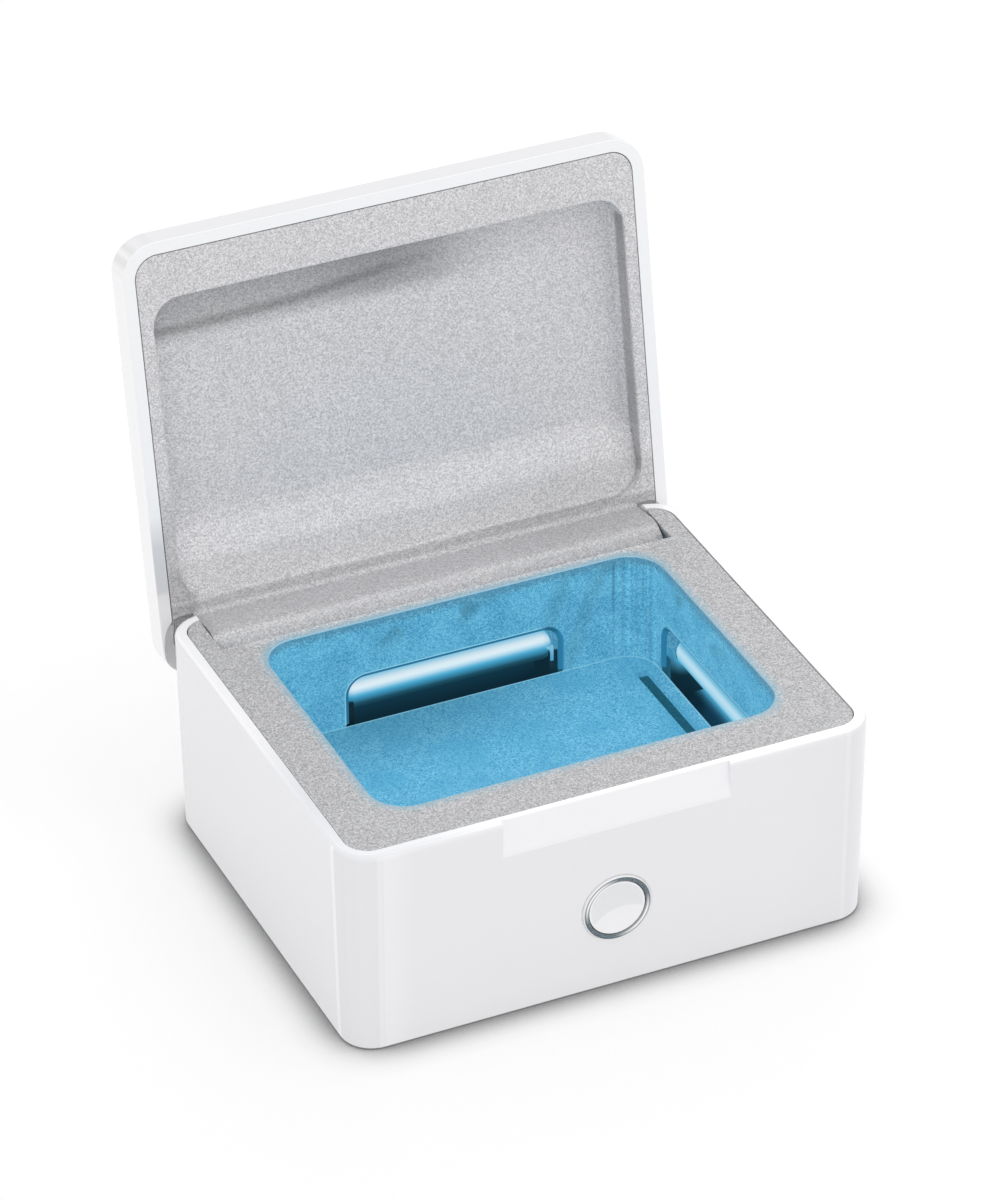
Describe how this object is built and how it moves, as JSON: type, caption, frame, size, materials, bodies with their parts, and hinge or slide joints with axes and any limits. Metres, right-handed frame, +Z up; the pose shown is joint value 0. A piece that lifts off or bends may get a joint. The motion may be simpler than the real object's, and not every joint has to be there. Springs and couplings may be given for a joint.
{
  "type": "hearing aid dryer",
  "caption": "Lidded drying box for hearing aids: heated chamber with tray and two lamp tubes, hinged lid and a round push button.",
  "frame": {"origin": "centre of the base's underside, on the surface that it stands on", "axes": "+Z up, the front with the button faces -Y, the width runs along X; the lid is open, as it rests"},
  "size_m": [0.122, 0.1255, 0.133],
  "materials": {
    "white_shell": "gloss white",
    "grey_liner": "silver grey with a fine grain",
    "cover_plastic": "satin light grey",
    "steel": "plain steel",
    "foot_rubber": "matt black",
    "clear_tray": "clear moulded plastic",
    "lamp_glass": "lit glass tube",
    "holder_plastic": "black",
    "reflector_metal": "dark polished sheet",
    "heater_metal": "plain sheet",
    "dark_part": "black",
    "board_green": "green solder mask",
    "chrome_ring": "polished",
    "button_white": "gloss white",
    "sensor_glass": "tinted glass"
  },
  "bodies": {
    "base": {"base_shell": "white_shell", "base_liner": "grey_liner", "bottom_cover": "cover_plastic", "cover_screws": "steel", "rubber_feet": "foot_rubber", "tray": "clear_tray", "back_lamp": "lamp_glass", "side_lamp": "lamp_glass", "back_lamp_holders": "holder_plastic", "side_lamp_holders": "holder_plastic", "back_reflector": "reflector_metal", "side_reflector": "reflector_metal", "heater_plate": "heater_metal", "thermal_fuse": "dark_part", "fan_housing": "dark_part", "fan_screws": "steel", "main_board": "board_green", "board_screws": "steel", "lamp_transformers": "dark_part", "supply_capacitor": "dark_part", "control_chip": "dark_part", "power_socket": "steel", "button_ring": "chrome_ring", "button_board": "board_green", "switch_body": "dark_part", "hinge_pins": "steel", "lid_sensor": "sensor_glass"},
    "lid": {"lid_shell": "white_shell", "lid_liner": "grey_liner", "lid_magnet": "steel"},
    "button": {"button_cap": "button_white", "switch_plunger": "dark_part"},
    "fan": {"fan_rotor": "dark_part"}
  },
  "joints": [
    {"name": "lid_hinge", "type": "hinge", "parent": "base", "child": "lid", "pos_m": [0, 0.04336, 0.0418], "axis": [1, 0, 0], "range_deg": [0, 99.65]},
    {"name": "button_press", "type": "slide", "parent": "base", "child": "button", "axis": [0, 1, 0], "range_m": [0, 0.0005], "stiffness_N_per_m": 2000, "springref_m": -0.0003},
    {"name": "fan_spin", "type": "hinge", "parent": "base", "child": "fan", "pos_m": [0.03, -0.002, 0.0095], "axis": [0, 0, 1], "continuous": true}
  ]
}
